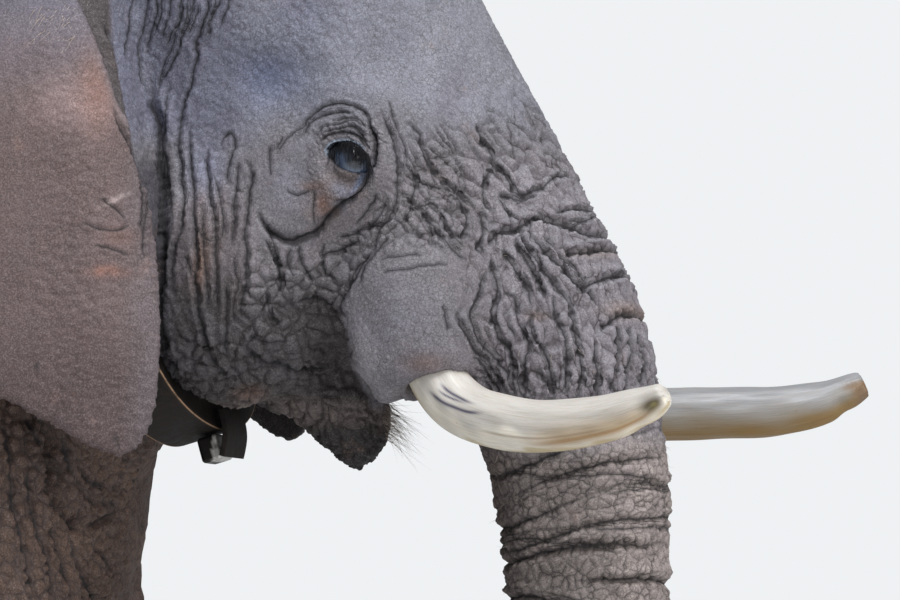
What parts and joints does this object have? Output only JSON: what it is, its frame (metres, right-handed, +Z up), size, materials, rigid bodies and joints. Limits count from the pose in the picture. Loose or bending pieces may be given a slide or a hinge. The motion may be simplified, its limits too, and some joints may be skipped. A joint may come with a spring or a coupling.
{
  "type": "standing elephant model",
  "caption": "Life-size still model of a standing African bush elephant bull with long tusks, hanging trunk and a tracking collar round its neck.",
  "frame": {"origin": "centre of the bounding box's foot, on the floor under the soles", "axes": "+X forward along the body, +Y to the animal's left, +Z up"},
  "size_m": [3.8546, 1.461, 3.0235],
  "materials": {
    "elephant_skin": "matte, deeply wrinkled",
    "ivory": "worn satin",
    "toenail": "dull horn",
    "eyeball": "wet gloss",
    "tail_hair": "stiff bristle",
    "collar_belting": "scuffed belting",
    "collar_steel": "scratched plate"
  },
  "bodies": {
    "root": {"head": "elephant_skin", "jaw": "elephant_skin", "neck": "elephant_skin", "trunk_top": "elephant_skin", "trunk_mid": "elephant_skin", "trunk_low": "elephant_skin", "trunk_tip": "elephant_skin", "ear_left": "elephant_skin", "ear_right": "elephant_skin", "chest": "elephant_skin", "belly": "elephant_skin", "hindquarters": "elephant_skin", "tail": "elephant_skin", "foreleg_upper_left": "elephant_skin", "foreleg_lower_left": "elephant_skin", "forefoot_left": "elephant_skin", "hindleg_lower_left": "elephant_skin", "hindfoot_left": "elephant_skin", "foreleg_upper_right": "elephant_skin", "foreleg_lower_right": "elephant_skin", "forefoot_right": "elephant_skin", "hindleg_lower_right": "elephant_skin", "hindfoot_right": "elephant_skin", "eye_left": "eyeball", "tusk_left": "ivory", "nail_fore_left_1": "toenail", "nail_fore_left_2": "toenail", "nail_fore_left_3": "toenail", "nail_fore_left_4": "toenail", "nail_hind_left_1": "toenail", "nail_hind_left_2": "toenail", "nail_hind_left_3": "toenail", "eye_right": "eyeball", "tusk_right": "ivory", "nail_fore_right_1": "toenail", "nail_fore_right_2": "toenail", "nail_fore_right_3": "toenail", "nail_fore_right_4": "toenail", "nail_hind_right_1": "toenail", "nail_hind_right_2": "toenail", "nail_hind_right_3": "toenail", "tail_hair": "tail_hair", "collar_belt": "collar_belting", "collar_unit": "collar_belting", "collar_loose_end": "collar_belting", "collar_counterweight": "collar_steel"}
  },
  "joints": []
}
